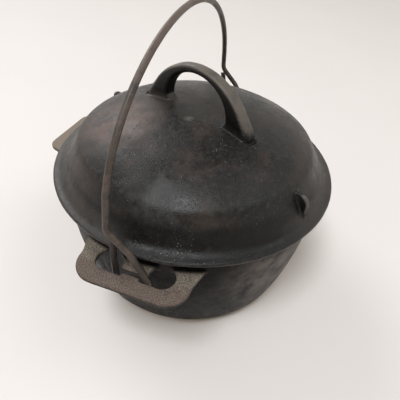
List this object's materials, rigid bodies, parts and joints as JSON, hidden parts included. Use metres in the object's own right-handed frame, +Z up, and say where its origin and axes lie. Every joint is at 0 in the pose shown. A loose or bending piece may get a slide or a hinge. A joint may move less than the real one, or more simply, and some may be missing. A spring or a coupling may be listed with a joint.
{
  "type": "dutch oven",
  "caption": "Round cast-iron camp pot with a domed lid, strap lid handle, side ears, a tipping lug and a swinging wire bail.",
  "frame": {"origin": "centre of the kettle's flat base, on the surface that it stands on", "axes": "+Z up through the lid; X along the line through the two bail ears; the tipping lug is at -Y"},
  "size_m": [0.317, 0.2895, 0.2732],
  "materials": {
    "kettle_iron": "seasoned, with thin rust on its ears and lug",
    "lid_iron": "seasoned black, worn",
    "bail_steel": "bare drawn wire gone brown with rust"
  },
  "bodies": {
    "kettle": {"kettle": "kettle_iron"},
    "lid": {"lid": "lid_iron"},
    "bail": {"bail": "bail_steel"}
  },
  "joints": [
    {"name": "lid_lift", "type": "slide", "parent": "kettle", "child": "lid", "axis": [0, 0, 1], "range_m": [0, 0.032]},
    {"name": "bail_swing", "type": "hinge", "parent": "kettle", "child": "bail", "pos_m": [0, 0, 0.10975], "axis": [-1, 0, 0], "range_deg": [-51, 66]}
  ]
}
